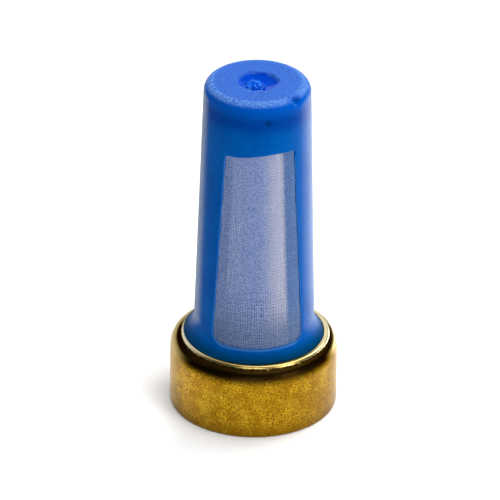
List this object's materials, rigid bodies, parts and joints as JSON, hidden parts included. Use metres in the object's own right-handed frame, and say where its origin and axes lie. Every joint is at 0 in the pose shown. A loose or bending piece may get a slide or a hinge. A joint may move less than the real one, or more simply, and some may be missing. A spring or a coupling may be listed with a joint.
{
  "type": "fuel injector basket filter",
  "caption": "Basket filter for a fuel injector's inlet: brass press-in ring, tapered blue nylon cage with side windows and a closed cap, and a woven nylon sleeve.",
  "frame": {"origin": "centre of the brass ring's flat end face, where fuel enters", "axes": "+Z along the filter's axis from the ring's end face to the closed cap; the windows face -Y and +Y"},
  "size_m": [0.006, 0.006, 0.0128],
  "materials": {
    "brass": "fine-grained satin wall with a turned, polished shoulder and lip",
    "blue_nylon": "satin moulded nylon, slightly translucent",
    "woven_nylon": "fine monofilament weave, half see-through"
  },
  "bodies": {
    "root": {"press_ring": "brass", "filter_cage": "blue_nylon", "filter_sleeve": "woven_nylon"}
  },
  "joints": []
}
